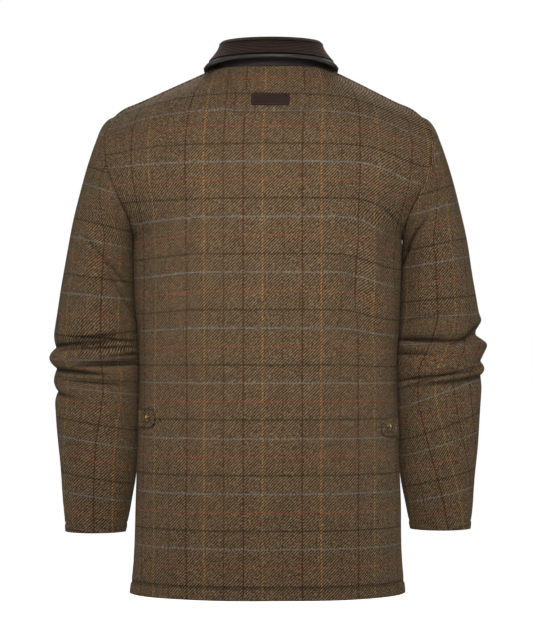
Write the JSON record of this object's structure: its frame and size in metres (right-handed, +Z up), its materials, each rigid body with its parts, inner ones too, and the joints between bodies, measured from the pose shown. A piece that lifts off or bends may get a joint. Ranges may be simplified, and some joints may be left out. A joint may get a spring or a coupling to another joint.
{
  "type": "tweed jacket",
  "caption": "Checked tweed country jacket, hollow as worn, with a corduroy collar over leather, side tabs, a bare leather patch at the upper back and a buttoned front.",
  "frame": {"origin": "middle of the neck opening, level with the neck ends of the shoulder seams, where the jacket hangs on its wearer", "axes": "+Z up, the wearer faces +Y, so the back is towards -Y and the wearer's right arm is at +X"},
  "size_m": [0.6362, 0.2755, 0.7954],
  "materials": {
    "tweed": "woollen twill with an overcheck",
    "corduroy": "ribbed nap",
    "leather": "semi-gloss",
    "label_leather": "satin",
    "brass": "antiqued",
    "horn": "satin"
  },
  "bodies": {
    "root": {"back": "tweed", "front_left": "tweed", "front_right": "tweed", "fore_sleeve_left": "tweed", "hind_sleeve_left": "tweed", "under_sleeve_left": "tweed", "fore_sleeve_right": "tweed", "hind_sleeve_right": "tweed", "under_sleeve_right": "tweed", "collar_upper": "corduroy", "collar_under": "leather", "hang_strip": "tweed", "label": "label_leather", "tab_left": "tweed", "tab_right": "tweed", "tab_cap_left": "brass", "tab_cap_right": "brass", "tab_stud_left": "brass", "tab_stud_right": "brass", "front_button_1": "horn", "front_button_2": "horn", "front_button_3": "horn", "front_button_4": "horn"}
  },
  "joints": []
}
